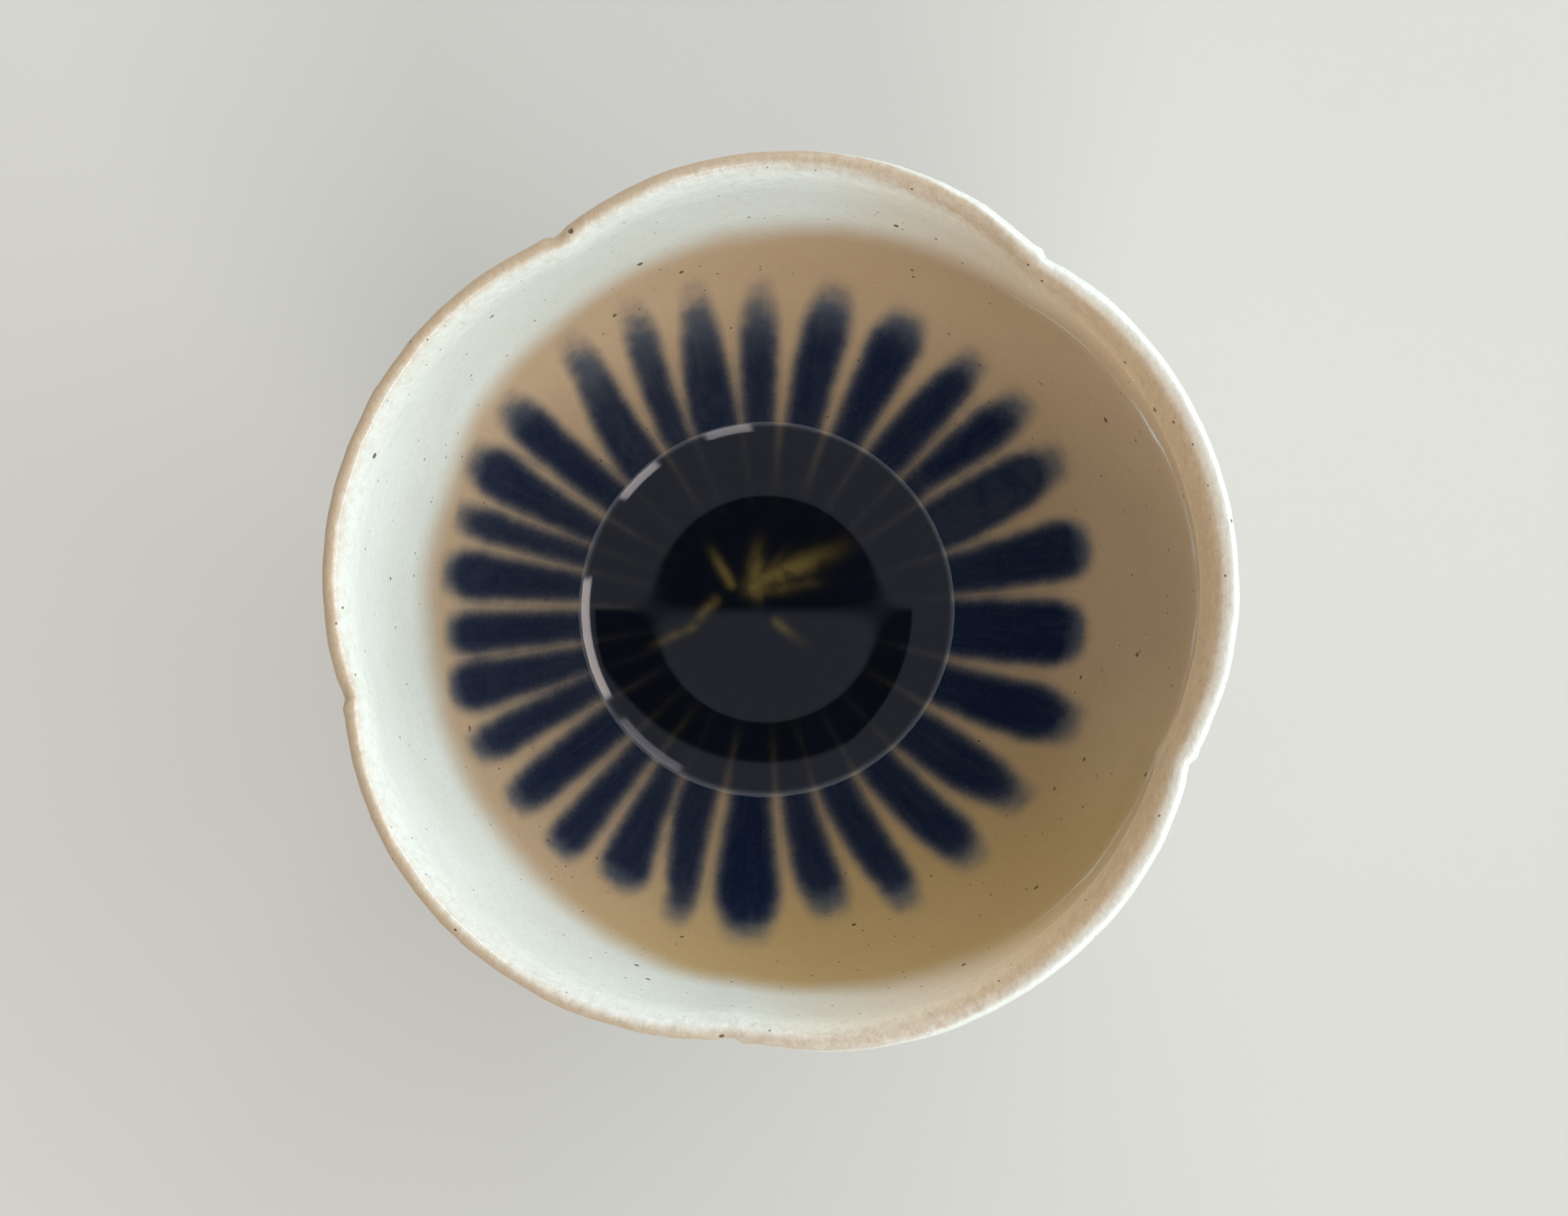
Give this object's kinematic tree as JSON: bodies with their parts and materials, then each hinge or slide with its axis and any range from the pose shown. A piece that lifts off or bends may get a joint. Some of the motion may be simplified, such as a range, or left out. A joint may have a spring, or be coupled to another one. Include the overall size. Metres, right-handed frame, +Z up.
{
  "type": "kumidashi teacup",
  "caption": "Wide handleless stoneware teacup with a petal rim, cream glaze, radiating cobalt brush strokes inside, a bare trimmed foot ring and a little tea left in the bottom.",
  "frame": {"origin": "on the cup's axis, at the level that the foot ring stands on", "axes": "+Z up out of the mouth; +X to the right and +Y away in a view from straight above"},
  "size_m": [0.0899, 0.0896, 0.058],
  "materials": {
    "stoneware": "bare buff clay",
    "cream_glaze": "satin to gloss",
    "cobalt": "gloss, sunk in glaze",
    "tea": "clear liquid"
  },
  "bodies": {
    "root": {"brush_stroke_01": "cobalt", "brush_stroke_02": "cobalt", "brush_stroke_03": "cobalt", "brush_stroke_04": "cobalt", "brush_stroke_05": "cobalt", "brush_stroke_06": "cobalt", "brush_stroke_07": "cobalt", "brush_stroke_08": "cobalt", "brush_stroke_09": "cobalt", "brush_stroke_10": "cobalt", "brush_stroke_11": "cobalt", "brush_stroke_12": "cobalt", "brush_stroke_13": "cobalt", "brush_stroke_14": "cobalt", "brush_stroke_15": "cobalt", "brush_stroke_16": "cobalt", "brush_stroke_17": "cobalt", "brush_stroke_18": "cobalt", "brush_stroke_19": "cobalt", "brush_stroke_20": "cobalt", "brush_stroke_21": "cobalt", "brush_stroke_22": "cobalt", "brush_stroke_23": "cobalt", "brush_stroke_24": "cobalt", "brush_stroke_25": "cobalt", "brush_stroke_26": "cobalt", "brush_stroke_27": "cobalt", "brush_stroke_28": "cobalt", "inner_glaze": "cream_glaze", "outer_glaze": "cream_glaze", "stoneware_body": "stoneware", "tea": "tea"}
  },
  "joints": []
}
